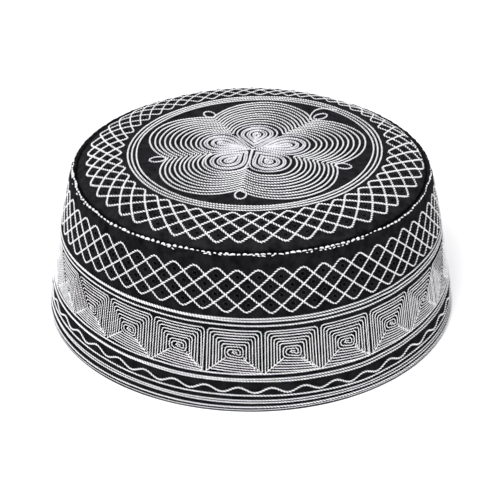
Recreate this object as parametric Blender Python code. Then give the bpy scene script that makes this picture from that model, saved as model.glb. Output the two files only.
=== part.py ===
"""Kufi: a stiff round cloth cap with a tapering wall and a flat top that has a soft shoulder.

Run it with: blender --background --python part.py
Units are metres and +Z is up. The rim rests on z = 0, and the front of the cap faces -Y.
"""

import math

import bmesh
import bpy
from mathutils import Matrix, Vector

# Driving dimensions, in metres
RIM_RADIUS = 0.0950        # outside of the wall where it rests
WALL_TAPER = 0.1758        # radius that the wall loses for each metre of height
WALL_BOW = 0.631           # further loss for each square metre: the wall leans in more towards its top
BAND_TOP = 0.0650          # centre of the rolled top edge of the wall
FOOT_ROUND = 0.0004        # rounding on both sides of the flat rim
CLOTH = 0.0025             # thickness of the doubled, stiffened cloth
CROWN_FLAT_RADIUS = 0.0546  # the top is flat up to here
CROWN_FLAT_HEIGHT = 0.0732
CROWN_DOME = 0.0004        # how much the middle of the flat top stands up
CROWN_DROP = 0.0073        # how far the shoulder falls by the seam
CROWN_SEAM_RADIUS = 0.0780
CROWN_EDGE_RADIUS = 0.0772  # where the top panel ends
SHOULDER_POWER = 2.53      # roundness of the shoulder's fall
WELT_RADIUS = 0.0775       # the rolled edge in the seam: radius of its ring
WELT_HEIGHT = 0.0649
WELT_THICK = 0.0016
BACK_RISE = 0.0029         # the back of the seam stands this much higher than the front
BACK_RISE_HEIGHT = 0.0750  # height at which the whole rise is reached

# Mesh density
SEGMENTS = 80
OUTER_STEPS = 9
INNER_STEPS = 6
ROLL_STEPS = 6
SHOULDER_STEPS = 8
FLAT_STEPS = 4
WELT_STEPS = 10
SHARP_ANGLE = math.radians(40)
MERGE_DISTANCE = 0.000001

# Finish of the cloth, linear colour
CLOTH_COLOR = (0.018, 0.018, 0.020, 1.0)
CLOTH_ROUGHNESS = 0.88
WELT_COLOR = (0.010, 0.010, 0.011, 1.0)
WELT_ROUGHNESS = 0.92


def clear_scene():
    """Removes every object, so that the script can run again."""
    for obj in list(bpy.data.objects):
        bpy.data.objects.remove(obj, do_unlink=True)


def plain_material(name, color, roughness):
    """A cloth finish: one colour, rough and not metallic."""
    material = bpy.data.materials.new(name)
    material.use_nodes = True
    shader = material.node_tree.nodes["Principled BSDF"]
    shader.inputs["Base Color"].default_value = color
    shader.inputs["Roughness"].default_value = roughness
    shader.inputs["Metallic"].default_value = 0.0
    return material


def steps(start, end, count):
    """Evenly spaced values from start to end, both included."""
    return [start + (end - start) * i / count for i in range(count + 1)]


def arc(centre, radius, start, end, count):
    """Points (r, z) on an arc about centre, from one angle to the other, in degrees."""
    return [
        (centre[0] + radius * math.cos(a), centre[1] + radius * math.sin(a))
        for a in steps(math.radians(start), math.radians(end), count)
    ]


def wall_radius(z):
    """Outside radius of the wall at height z."""
    return RIM_RADIUS - WALL_TAPER * z - WALL_BOW * z * z


def crown_height(r):
    """Height of the top panel's outer face at radius r."""
    if r <= CROWN_FLAT_RADIUS:
        return CROWN_FLAT_HEIGHT + CROWN_DOME * (1 - (r / CROWN_FLAT_RADIUS) ** 2)
    along = (r - CROWN_FLAT_RADIUS) / (CROWN_SEAM_RADIUS - CROWN_FLAT_RADIUS)
    return CROWN_FLAT_HEIGHT - CROWN_DROP * along ** SHOULDER_POWER


def lifted(point):
    """Moves a point up by the rise that the back of the cap has, none at the rim or the front."""
    reach = max(math.hypot(point.x, point.y), CROWN_SEAM_RADIUS)
    backwards = (1 + point.y / reach) / 2
    rise = BACK_RISE * backwards ** 2 * (point.z / BACK_RISE_HEIGHT) ** 2
    return Vector((point.x, point.y, point.z + rise))


def band_section():
    """Closed outline of the wall: flat foot, outer face, rolled top edge and inner face."""
    half = CLOTH / 2
    roll = (wall_radius(BAND_TOP) - half, BAND_TOP)
    foot_outer = arc((RIM_RADIUS - FOOT_ROUND, FOOT_ROUND), FOOT_ROUND, -90, 0, 2)
    outer = [(wall_radius(z), z) for z in steps(FOOT_ROUND, BAND_TOP, OUTER_STEPS)[1:-1]]
    top = arc(roll, half, 0, 180, ROLL_STEPS)
    inner = [(wall_radius(z) - CLOTH, z) for z in steps(BAND_TOP, FOOT_ROUND, INNER_STEPS)[1:-1]]
    foot_inner = arc((RIM_RADIUS - CLOTH + FOOT_ROUND, FOOT_ROUND), FOOT_ROUND, 180, 270, 2)
    return foot_outer + outer + top + inner + foot_inner


def crown_section():
    """Outline of the top panel from the axis, over its shoulder and edge, and back underneath."""
    flat = [(r, crown_height(r)) for r in steps(0.0, CROWN_FLAT_RADIUS, FLAT_STEPS)]
    shoulder_radii = steps(CROWN_FLAT_RADIUS, CROWN_EDGE_RADIUS, SHOULDER_STEPS)[1:]
    outer = flat + [(r, crown_height(r)) for r in shoulder_radii]
    under = []
    for before, here in zip(outer[:-1], outer[1:]):
        along = Vector((here[0] - before[0], 0.0, here[1] - before[1])).normalized()
        under.append((here[0] + along.z * CLOTH, here[1] - along.x * CLOTH))
    edge = Vector((outer[-1][0] - under[-1][0], outer[-1][1] - under[-1][1]))
    middle = ((outer[-1][0] + under[-1][0]) / 2, (outer[-1][1] + under[-1][1]) / 2)
    bulge = CLOTH * 0.12
    tip = (middle[0] + edge.y / CLOTH * bulge, middle[1] - edge.x / CLOTH * bulge)
    return outer + [tip] + under[::-1] + [(0.0, outer[0][1] - CLOTH)]


def welt_section():
    """Closed round outline of the rolled edge in the seam."""
    return arc((WELT_RADIUS, WELT_HEIGHT), WELT_THICK / 2, 0, 360, WELT_STEPS)[:-1]


def turned(name, section, closed, material):
    """Makes one object by turning an outline about Z and lifting its back.

    section is a list of (r, z). A closed outline makes a ring, and one that starts and ends on the axis
    makes a disc.
    """
    mesh = bpy.data.meshes.new(name)
    work = bmesh.new()
    points = [work.verts.new((0.0, -r, z)) for r, z in section]
    pairs = list(zip(points[:-1], points[1:]))
    if closed:
        pairs.append((points[-1], points[0]))
    edges = [work.edges.new(pair) for pair in pairs]
    bmesh.ops.spin(
        work, geom=points + edges, cent=(0, 0, 0), axis=(0, 0, 1), angle=math.tau, steps=SEGMENTS,
        use_merge=True,
    )
    bmesh.ops.remove_doubles(work, verts=work.verts, dist=MERGE_DISTANCE)
    bmesh.ops.recalc_face_normals(work, faces=work.faces)
    for vert in work.verts:
        vert.co = lifted(vert.co)
    work.to_mesh(mesh)
    work.free()
    mesh.shade_smooth()
    mesh.set_sharp_from_angle(angle=SHARP_ANGLE)
    mesh.materials.append(material)
    obj = bpy.data.objects.new(name, mesh)
    obj.matrix_world = Matrix.Identity(4)
    bpy.context.scene.collection.objects.link(obj)
    return obj


def make_side_band():
    """The tapering wall."""
    cloth = plain_material("band_cloth", CLOTH_COLOR, CLOTH_ROUGHNESS)
    return turned("side_band", band_section(), True, cloth)


def make_crown_top():
    """The round top panel."""
    cloth = plain_material("crown_cloth", CLOTH_COLOR, CLOTH_ROUGHNESS)
    return turned("crown_top", crown_section(), False, cloth)


def make_seam_welt():
    """The rolled edge between the top panel and the wall."""
    cloth = plain_material("welt_cloth", WELT_COLOR, WELT_ROUGHNESS)
    return turned("seam_welt", welt_section(), True, cloth)


def main():
    """Builds the cap."""
    clear_scene()
    make_side_band()
    make_crown_top()
    make_seam_welt()


main()
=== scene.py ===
"""A black cloth kufi with white machine embroidery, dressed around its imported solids.

Sizes are in metres. The rim rests on z = 0 and the front of the cap faces -Y. Angles on the cap are
measured from the front, and grow towards +X.
"""

import logging
import math
import random
from collections.abc import Callable, Iterable, Sequence
from dataclasses import dataclass, field
from enum import Enum

import bmesh
import bpy
from mathutils import Matrix, Vector


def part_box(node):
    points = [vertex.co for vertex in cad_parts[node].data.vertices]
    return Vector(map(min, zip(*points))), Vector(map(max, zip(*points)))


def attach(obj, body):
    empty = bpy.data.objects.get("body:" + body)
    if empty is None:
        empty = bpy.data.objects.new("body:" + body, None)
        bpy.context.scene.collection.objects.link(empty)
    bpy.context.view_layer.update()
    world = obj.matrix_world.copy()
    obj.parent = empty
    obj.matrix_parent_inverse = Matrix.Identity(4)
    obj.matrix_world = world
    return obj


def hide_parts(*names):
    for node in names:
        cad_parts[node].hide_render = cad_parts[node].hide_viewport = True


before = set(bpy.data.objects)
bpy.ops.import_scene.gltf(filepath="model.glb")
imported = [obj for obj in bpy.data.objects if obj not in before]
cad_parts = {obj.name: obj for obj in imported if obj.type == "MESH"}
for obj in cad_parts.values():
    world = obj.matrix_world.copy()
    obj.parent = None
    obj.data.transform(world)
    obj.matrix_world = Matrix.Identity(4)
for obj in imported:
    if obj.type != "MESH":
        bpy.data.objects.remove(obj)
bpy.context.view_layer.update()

LOG = logging.getLogger("kufi")
FULL_TURN = math.tau
UP = Vector((0.0, 0.0, 1.0)).freeze()
IMAGE_WIDTH = 500.0
# The mark at each stitch's ends, which the thread's material turns into painted shade.
END_NAME = "stitch_end"
UP_NAME = "up"
DOT_SINK = 0.0002
DOT_POINTS = 4
BEND_STEPS = 4
AXIS_REACH = 0.000001
HIGHEST_ROLL = 0.96

Color = tuple[float, float, float]
Pair = tuple[float, float]
Table = tuple[Pair, ...]
Place = tuple[Vector, Vector]
Rings = tuple[tuple[float, float, float, float, float], ...]
Socket = bpy.types.NodeSocket


class Slot(Enum):
    """The record's material slots."""

    BAND = "band_cloth"
    CROWN = "crown_cloth"
    WELT = "welt_cloth"
    WHITE = "white_thread"
    BLACK = "black_thread"


class Turn(Enum):
    """How an outline is turned about the axis: as a ring, or as a disc that starts and ends on it."""

    RING = "ring"
    DISC = "disc"


# Small helpers


def steps(start: float, end: float, count: int) -> list[float]:
    """Evenly spaced values.

    Args:
        start: the first value.
        end: the last value.
        count: how many steps lie between them.

    Returns:
        count + 1 values, both ends included.
    """
    return [start + (end - start) * i / count for i in range(count + 1)]


def turns(count: int) -> list[float]:
    """Evenly spaced angles from 0 up to a full turn, which is left out."""
    return [FULL_TURN * i / count for i in range(count)]


def mix(low: float, high: float, share: float) -> float:
    """The value that is a share of the way from low to high."""
    return low + (high - low) * share


def between(stations: Table, place: float) -> float:
    """A value between stations, eased from one to the next.

    Args:
        stations: (place, value), by rising place.
        place: where the value is wanted.

    Returns:
        The value, which outside the stations is that of the nearest one.
    """
    if place <= stations[0][0]:
        return stations[0][1]
    for before, after in zip(stations[:-1], stations[1:]):
        if place <= after[0]:
            share = (place - before[0]) / (after[0] - before[0])
            return mix(before[1], after[1], share * share * (3 - 2 * share))
    return stations[-1][1]


def from_front(angle: float) -> float:
    """An angle in degrees, from -180 to 180 with 0 at the front."""
    return (math.degrees(angle) + 180) % 360 - 180


def outwards(angle: float) -> Vector:
    """The level direction away from the axis at an angle."""
    return Vector((math.sin(angle), -math.cos(angle), 0.0))


def ripple(waves: Sequence[tuple[float, float, float]], angle: float) -> float:
    """Sums waves round the cap, each given as (size, how many fit in a turn, phase)."""
    return sum(size * math.sin(angle * count + phase) for size, count, phase in waves)


def arc(centre: Pair, radius: float, start: float, end: float, count: int) -> list[Pair]:
    """Points on an arc of an outline.

    Args:
        centre: (r, z) of its centre.
        radius: its radius.
        start: first angle, in degrees.
        end: last angle, in degrees.
        count: how many steps it has.

    Returns:
        count + 1 points (r, z).
    """
    turns = steps(math.radians(start), math.radians(end), count)
    return [(centre[0] + radius * math.cos(a), centre[1] + radius * math.sin(a)) for a in turns]


def placed(name: str, data: bpy.types.ID) -> bpy.types.Object:
    """Puts a mesh, light or camera in the scene, as an object of that name.

    Args:
        name: its name.
        data: the mesh, light or camera that it shows.

    Returns:
        The object.
    """
    made = bpy.data.objects.new(name, data)
    bpy.context.scene.collection.objects.link(made)
    return made


@dataclass(frozen=True)
class Wander:
    """A smooth, seeded waver round the cap, for lines that a hand guided under a needle."""

    seed: int
    size: float
    waves: tuple[int, ...] = (2, 3, 5, 8, 13)

    def at(self, angle: float) -> float:
        """The waver at an angle.

        Args:
            angle: where on the circle, in radians.

        Returns:
            A signed length, mostly within size.
        """
        draw = random.Random(self.seed)
        total = 0.0
        for wave in self.waves:
            phase = draw.uniform(0.0, FULL_TURN)
            total += draw.uniform(0.4, 1.0) * math.sin(wave * angle + phase)
        return self.size * total / math.sqrt(len(self.waves))


# The cap's form


@dataclass(frozen=True)
class CapForm:
    """The cap's outer faces, as lengths that the solids share."""

    rim_radius: float
    wall_taper: float = 0.1758
    wall_bow: float = 0.631
    band_top: float = 0.0650
    foot_round: float = 0.0004
    cloth: float = 0.0025
    flat_radius: float = 0.0546
    flat_height: float = 0.0732
    crown_dome: float = 0.0004
    crown_drop: float = 0.0073
    seam_radius: float = 0.0780
    crown_edge: float = 0.0772
    shoulder_power: float = 2.53
    welt_radius: float = 0.0775
    welt_height: float = 0.0649
    welt_thick: float = 0.0016
    back_rise: float = 0.0029
    back_rise_height: float = 0.0750
    slope_reach: float = 0.0005

    def wall_radius(self, z: float) -> float:
        """Outside radius of the wall at height z."""
        return self.rim_radius - self.wall_taper * z - self.wall_bow * z * z

    def wall_slope(self, z: float) -> float:
        """How fast the wall's radius shrinks with height, at height z."""
        return self.wall_taper + 2 * self.wall_bow * z

    def crown_height(self, r: float) -> float:
        """Height of the top panel's outer face at radius r, at the front.

        Args:
            r: distance from the axis.

        Returns:
            The height.
        """
        if r <= self.flat_radius:
            return self.flat_height + self.crown_dome * (1 - (r / self.flat_radius) ** 2)
        along = (r - self.flat_radius) / (self.seam_radius - self.flat_radius)
        return self.flat_height - self.crown_drop * along ** self.shoulder_power

    def lifted(self, point: Vector) -> Vector:
        """Moves a point up by the rise that the back of the cap has.

        Args:
            point: a point of the plain turned form.

        Returns:
            The point on the cap.
        """
        reach = max(math.hypot(point.x, point.y), self.seam_radius)
        backwards = (1 + point.y / reach) / 2
        rise = self.back_rise * backwards ** 2 * (point.z / self.back_rise_height) ** 2
        return Vector((point.x, point.y, point.z + rise))

    def on_wall(self, angle: float, z: float) -> Place:
        """A place on the wall's outer face, over its rolled top edge too.

        Args:
            angle: angle from the front, in radians.
            z: height on the plain form.

        Returns:
            The point, and the outward direction of the cloth there.
        """
        out = outwards(angle)
        if z <= self.band_top:
            radius = self.wall_radius(z)
            normal = out + UP * self.wall_slope(z)
        else:
            rise = min((z - self.band_top) / (self.cloth / 2), HIGHEST_ROLL)
            level = math.sqrt(1 - rise * rise)
            radius = self.wall_radius(self.band_top) - self.cloth / 2 * (1 - level)
            normal = out * level + UP * rise
        return self.lifted(out * radius + UP * z), normal.normalized()

    def on_crown(self, x: float, y: float) -> Place:
        """A place on the top panel.

        Args:
            x: how far right of the axis.
            y: how far behind the axis.

        Returns:
            The point, and the upward direction of the cloth there.
        """
        r = min(math.hypot(x, y), self.crown_edge)
        low, high = max(r - self.slope_reach, 0.0), r + self.slope_reach
        slope = (self.crown_height(high) - self.crown_height(low)) / (2 * self.slope_reach)
        out = Vector((x, y, 0.0)).normalized() if r > 0 else Vector((0.0, 0.0, 0.0))
        return self.lifted(Vector((x, y, self.crown_height(r)))), (UP - out * slope).normalized()


# Shader groups and finishes


@dataclass
class NodeWriter:
    """Adds nodes to one tree, with their properties and their inputs."""

    tree: bpy.types.NodeTree

    def feed(self, value: object, socket: Socket) -> None:
        """Joins an output to an input, or gives the input a plain value.

        Args:
            value: an output or a plain value.
            socket: the input.
        """
        if isinstance(value, Socket):
            self.tree.links.new(value, socket)
        else:
            socket.default_value = value

    def node(self, kind: str, feeds: dict[str | int, object] | None = None,
             **values: object) -> bpy.types.Node:
        """Adds a node.

        Args:
            kind: the node's type.
            feeds: an output or a plain value for each input, by the input's name or number.
            **values: property names and values.

        Returns:
            The node.
        """
        made = self.tree.nodes.new(kind)
        for key, value in values.items():
            setattr(made, key, value)
        for key, value in (feeds or {}).items():
            self.feed(value, made.inputs[key])
        return made

    def math(self, operation: str, *values: object) -> Socket:
        """Adds one sum of outputs or numbers, and gives its result."""
        return self.node("ShaderNodeMath", dict(enumerate(values)), operation=operation).outputs[0]

    def color(self, mask: Socket, low: object, high: object) -> Socket:
        """Adds a mix of two colours: low where the mask is 0, and high where it is 1."""
        feeds = {"Factor": mask, "A": low, "B": high}
        return self.node("ShaderNodeMix", feeds, data_type="RGBA").outputs["Result"]

    def noise(self, place: Socket, scale: object, detail: float, **more: float) -> Socket:
        """Adds a noise at a place, and gives its value."""
        feeds = {"Vector": place, "Scale": scale, "Detail": detail, **more}
        return self.node("ShaderNodeTexNoise", feeds).outputs["Fac"]

    def bump(self, height: Socket, distance: float, **more: object) -> Socket:
        """Adds a relief, and gives its normal."""
        return self.node("ShaderNodeBump", {"Height": height, "Distance": distance, **more}).outputs[0]


@dataclass
class GroupBuilder(NodeWriter):
    """Builds one shader node group, whose vector comes first among its inputs."""

    given: bpy.types.NodeOutputs

    @classmethod
    def start(cls, name: str, **numbers: float) -> "GroupBuilder":
        """Starts a group.

        Args:
            name: its name.
            **numbers: its number inputs after the vector, with their first values.

        Returns:
            The builder, with the group's inputs to draw on.
        """
        tree = bpy.data.node_groups.new(name, "ShaderNodeTree")
        tree.interface.new_socket("Vector", in_out="INPUT", socket_type="NodeSocketVector")
        for label, value in numbers.items():
            socket = tree.interface.new_socket(label, in_out="INPUT", socket_type="NodeSocketFloat")
            socket.default_value = value
        return cls(tree, tree.nodes.new("NodeGroupInput").outputs)

    def finish(self, **results: Socket) -> bpy.types.NodeTree:
        """Gives the group its number outputs, and hands it over.

        Args:
            **results: what each output gives.

        Returns:
            The group.
        """
        for label in results:
            self.tree.interface.new_socket(label, in_out="OUTPUT", socket_type="NodeSocketFloat")
        self.node("NodeGroupOutput", results)
        return self.tree


def plain_weave_group() -> bpy.types.NodeTree:
    """Plain weave: over and under yarns on a surface's own coordinates, in metres.

    Returns:
        The group, with inputs Vector and Pitch and outputs Height and a second output, high on the yarn
        crests and low between and under yarns, which the cloth uses as painted shade in its colour.
    """
    least_yarn, yarn_round = 0.25, 0.6
    g = GroupBuilder.start("plain_weave", Pitch=0.0004)
    split = g.node("ShaderNodeSeparateXYZ", {0: g.given["Vector"]})
    turn = g.math("DIVIDE", math.pi, g.given["Pitch"])
    across = g.math("MULTIPLY", split.outputs["X"], turn)
    along = g.math("MULTIPLY", split.outputs["Y"], turn)
    over = g.math("MULTIPLY", g.math("SINE", across), g.math("SINE", along))
    yarns = []
    for way, face in ((across, over), (along, g.math("MULTIPLY", over, -1.0))):
        crest = g.math("ABSOLUTE", g.math("COSINE", way))
        yarns.append(g.math("MULTIPLY", crest, g.math("MAXIMUM", face, least_yarn)))
    yarn = g.math("MAXIMUM", *yarns)
    # The second output is painted shade: lighter on the yarn crests, darker between and under yarns.
    return g.finish(Height=yarn, Yarn=g.math("POWER", yarn, yarn_round))


def mottle_group() -> bpy.types.NodeTree:
    """Cloudy unevenness and fine lint, on the object's own coordinates.

    Returns:
        The group, with inputs Vector, Cloud_Scale and Lint_Scale and outputs Cloud and Lint.
    """
    cloud_gain, cloud_floor, lint_power, lint_gain = 2.6, 0.8, 6.0, 8.0
    g = GroupBuilder.start("cloth_mottle", Cloud_Scale=230.0, Lint_Scale=900.0)
    cloud = g.noise(g.given["Vector"], g.given["Cloud_Scale"], 4.0, Roughness=0.65)
    lint = g.noise(g.given["Vector"], g.given["Lint_Scale"], 2.0)
    cloud = g.math("SUBTRACT", g.math("MULTIPLY", cloud, cloud_gain), cloud_floor)
    return g.finish(Cloud=cloud, Lint=g.math("MULTIPLY", g.math("POWER", lint, lint_power), lint_gain))


def yarn_twist_group() -> bpy.types.NodeTree:
    """The twist and fuzz of thread, fine enough to read as plies on each stitch, with a mask for the
    painted shade at each stitch's ends.

    Returns:
        The group, with inputs Vector, Ply, End and the strength of the painted shade, and outputs Height,
        Shade, a random tone, and Turn, which is low where one turn of the cord dives under the next: the
        mask of painted shade on the thread.
    """
    fuzz_scale, tone_scale, crevice_shade_power = 2600.0, 420.0, 1.1
    g = GroupBuilder.start("yarn_twist", Ply=0.0003, End=0.0, Depth=0.8)
    split = g.node("ShaderNodeSeparateXYZ", {0: g.given["Vector"]}).outputs
    slant = g.math("ADD", g.math("ADD", split["X"], split["Y"]), split["Z"])
    wave = g.math("SINE", g.math("MULTIPLY", slant, g.math("DIVIDE", FULL_TURN, g.given["Ply"])))
    ply = g.math("ADD", g.math("MULTIPLY", wave, 0.5), 0.5)
    fuzz = g.noise(g.given["Vector"], fuzz_scale, 1.0)
    tone = g.noise(g.given["Vector"], tone_scale, 1.0)
    # Painted shade: how much the thread darkens towards each stitch's ends, where it dives under the next
    # turn.
    crevice_shade = g.math("MULTIPLY", g.math("POWER", g.given["End"], crevice_shade_power), g.given["Depth"])
    return g.finish(Height=g.math("ADD", ply, fuzz), Shade=tone, Turn=g.math("SUBTRACT", 1.0, crevice_shade))


@dataclass(frozen=True)
class ShaderGroups:
    """The node groups that the finishes share."""

    weave: bpy.types.NodeTree
    mottle: bpy.types.NodeTree
    twist: bpy.types.NodeTree


@dataclass(frozen=True)
class Finish:
    """What every finish has: two tones, a relief in metres and how it shines."""

    name: str
    dark: Color
    light: Color
    roughness: float
    specular: float
    sheen: float
    sheen_roughness: float
    relief: float

    def build(self, groups: ShaderGroups) -> bpy.types.Material:
        """Makes the material.

        Args:
            groups: the shared node groups.

        Returns:
            The material.
        """
        material = bpy.data.materials.new(self.name)
        material.use_nodes = True
        nodes = NodeWriter(material.node_tree)
        color, normal = self._surface(nodes, groups)
        inputs = material.node_tree.nodes["Principled BSDF"].inputs
        values = {"Base Color": color, "Normal": normal, "Roughness": self.roughness,
                  "Specular IOR Level": self.specular, "Sheen Weight": self.sheen,
                  "Sheen Roughness": self.sheen_roughness}
        for key, value in values.items():
            nodes.feed(value, inputs[key])
        return material

    def _surface(self, nodes: NodeWriter, groups: ShaderGroups) -> tuple[Socket, Socket]:
        """The finish's colour and its normal."""
        raise NotImplementedError


@dataclass(frozen=True)
class BlackCloth(Finish):
    """Black cotton cloth with a plain weave, faintly mottled, with painted shade between its yarns."""

    dark: Color = (0.0003, 0.0003, 0.0004)
    light: Color = (0.0104, 0.0102, 0.0113)
    roughness: float = 0.9
    specular: float = 0.02
    sheen: float = 0.005
    sheen_roughness: float = 0.5
    relief: float = 0.00006
    weave_pitch: float = 0.00042
    weave_shade_share: float = 0.35
    fluff_strength: float = 0.6

    def _surface(self, nodes: NodeWriter, groups: ShaderGroups) -> tuple[Socket, Socket]:
        """The cloth's colour, by painted shade between the weave's yarns and by mottle, and its normal, by
        weave and lint.

        Args:
            nodes: writes the material's nodes.
            groups: the shared node groups.

        Returns:
            The colour and the normal.
        """
        places = nodes.node("ShaderNodeTexCoord").outputs
        weave = nodes.node("ShaderNodeGroup", {"Vector": places["UV"], "Pitch": self.weave_pitch},
                           node_tree=groups.weave).outputs
        mottle = nodes.node("ShaderNodeGroup", {"Vector": places["Object"]},
                            node_tree=groups.mottle).outputs
        # Painted shade: the weave's crests are lighter and the gaps between yarns darker, added to the
        # random mottle.
        cloud = nodes.math("MULTIPLY_ADD", weave["Yarn"], self.weave_shade_share, mottle["Cloud"])
        woven = nodes.bump(weave["Height"], self.relief)
        fluffy = nodes.bump(mottle["Lint"], self.relief * 2, Strength=self.fluff_strength, Normal=woven)
        return nodes.color(cloud, (*self.dark, 1.0), (*self.light, 1.0)), fluffy


@dataclass(frozen=True)
class EmbroideryThread(Finish):
    """Twisted embroidery thread with a soft shine, and painted shade where each stitch dives under the
    next.
    """

    roughness: float = 0.55
    specular: float = 0.35
    sheen: float = 0.15
    sheen_roughness: float = 0.4
    relief: float = 0.00005
    ply: float = 0.00032
    # How far the painted shade at the stitch ends reaches into the colour, and how dark it gets.
    crevice_shade_depth: float = 0.85
    crevice_shade_tone: float = 0.12

    def _surface(self, nodes: NodeWriter, groups: ShaderGroups) -> tuple[Socket, Socket]:
        """The thread's colour, with painted shade where it dives, and its normal.

        Args:
            nodes: writes the material's nodes.
            groups: the shared node groups.

        Returns:
            The colour and the normal.
        """
        places = nodes.node("ShaderNodeTexCoord").outputs
        ends = nodes.node("ShaderNodeAttribute", attribute_name=END_NAME).outputs
        feeds = {"Vector": places["Object"], "Ply": self.ply, "End": ends["Fac"],
                 "Depth": self.crevice_shade_depth}
        twist = nodes.node("ShaderNodeGroup", feeds, node_tree=groups.twist).outputs
        yarn = nodes.color(twist["Shade"], (*self.dark, 1.0), (*self.light, 1.0))
        # Painted shade: a darker copy of the thread's colour, mixed in at the stitch ends.
        crevice_shade_color = (*[tone * self.crevice_shade_tone for tone in self.dark], 1.0)
        return nodes.color(twist["Turn"], crevice_shade_color, yarn), nodes.bump(twist["Height"], self.relief)


@dataclass
class Finishes:
    """Every material of the cap."""

    band: bpy.types.Material
    crown: bpy.types.Material
    welt: bpy.types.Material
    white: bpy.types.Material
    cool_white: bpy.types.Material
    fine_white: bpy.types.Material
    black: bpy.types.Material
    painted_hole_shade: bpy.types.Material

    @classmethod
    def build(cls) -> "Finishes":
        """Builds the node groups and the materials.

        Returns:
            All the finishes.
        """
        groups = ShaderGroups(plain_weave_group(), mottle_group(), yarn_twist_group())
        kinds = {
            "band": BlackCloth("band_black_cloth"),
            # Painted light: the top panel is the same black cloth as the wall, made lighter where it faces
            # the light from above.
            "crown": BlackCloth("crown_black_cloth_painted_light", (0.0008, 0.0008, 0.0010), (0.0150, 0.0146, 0.0164)),
            # Painted shade: the rolled edge in the crease is the same black cloth, made darker and flatter
            # in tone as the crease's shade.
            "welt": BlackCloth("welt_black_cloth_painted_crease_shade", (0.0012, 0.0012, 0.0014), (0.003, 0.003, 0.0034)),
            "white": EmbroideryThread("white_embroidery_thread", (0.74, 0.735, 0.765),
                                      (0.96, 0.955, 0.97)),
            "cool_white": EmbroideryThread("cool_white_embroidery_thread", (0.62, 0.605, 0.67),
                                           (0.92, 0.915, 0.95)),
            # This thread gets less painted shade at its stitch ends.
            "fine_white": EmbroideryThread("fine_white_embroidery_thread", (0.80, 0.795, 0.82),
                                           (0.98, 0.975, 0.985), crevice_shade_depth=0.35),
            "black": EmbroideryThread("black_embroidery_thread", (0.010, 0.010, 0.011),
                                      (0.030, 0.029, 0.032), 0.6, 0.12, 0.0),
            # Painted shade: a near-black with no shine, for the needle holes in the cells, which lie in
            # shadow.
            "painted_hole_shade": EmbroideryThread("painted_hole_shade_black", (0.0002, 0.0002, 0.0003),
                                           (0.0008, 0.0008, 0.0010), 0.9, 0.0, 0.0),
        }
        return cls(**{key: kind.build(groups) for key, kind in kinds.items()})


# Cloth pieces


@dataclass
class TurnedCloth:
    """A cloth piece turned from an outline, with a UV map in metres for its weave."""

    name: str
    outline: list[Pair]
    turn: Turn
    form: CapForm
    segments: int = 300
    seam_step: float = 0.001
    pucker: Callable[[float, float, float], Vector] | None = None

    def build(self, material: bpy.types.Material) -> bpy.types.Object:
        """Makes the object.

        Args:
            material: its cloth.

        Returns:
            The object, with its place in its mesh.
        """
        work = bmesh.new()
        uv = work.loops.layers.uv.new("weave")
        lengths = [0.0]
        for before, here in zip(self.outline[:-1], self.outline[1:]):
            lengths.append(lengths[-1] + math.hypot(here[0] - before[0], here[1] - before[1]))
        rows = [self._row(work, r, z) for r, z in self.outline]
        last = len(rows) - 1
        closing = [(last, 0)] if self.turn is Turn.RING else []
        for low, high in [(i, i + 1) for i in range(last)] + closing:
            self._bridge(work, uv, rows, lengths, low, high)
        bmesh.ops.recalc_face_normals(work, faces=work.faces)
        mesh = bpy.data.meshes.new(self.name)
        work.to_mesh(mesh)
        work.free()
        mesh.shade_smooth()
        mesh.materials.append(material)
        return placed(self.name, mesh)

    def _row(self, work: bmesh.types.BMesh, r: float, z: float) -> list[bmesh.types.BMVert]:
        """The ring of points that one outline point makes, or the one point on the axis.

        Args:
            work: the piece so far.
            r: the outline point's distance from the axis.
            z: its height.

        Returns:
            The points, in order round the axis.
        """
        if r < AXIS_REACH:
            return [work.verts.new(self.form.lifted(UP * z))]
        row = []
        for angle in turns(self.segments):
            place = outwards(angle) * r + UP * z
            if self.pucker is not None:
                place += self.pucker(angle, r, z)
            row.append(work.verts.new(self.form.lifted(place)))
        return row

    def _bridge(self, work: bmesh.types.BMesh, uv: bmesh.types.BMLayerItem,
                rows: list[list[bmesh.types.BMVert]], lengths: list[float], low: int,
                high: int) -> None:
        """Fills the band between two rings, and maps it.

        Args:
            work: the piece so far.
            uv: its map.
            rows: the rings of points.
            lengths: how far along the outline each ring lies.
            low: number of the ring that comes first.
            high: number of the ring that comes next.
        """
        step = FULL_TURN / self.segments
        top_length = lengths[high] if high else lengths[-1] + self.seam_step
        for i in range(self.segments):
            nxt = (i + 1) % self.segments
            corners = [(rows[low], i, lengths[low]), (rows[low], nxt, lengths[low]),
                       (rows[high], nxt, top_length), (rows[high], i, top_length)]
            verts, places = [], []
            for row, place, length in corners:
                vert = row[place] if len(row) > 1 else row[0]
                if vert in verts:
                    continue
                verts.append(vert)
                at = i + 1 if place == nxt else i
                if self.turn is Turn.DISC:
                    places.append((vert.co.x, vert.co.y))
                else:
                    places.append((at * step * self.form.rim_radius, length))
            face = work.faces.new(verts)
            for loop, (u, v) in zip(face.loops, places):
                loop[uv].uv = (u, v)


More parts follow.
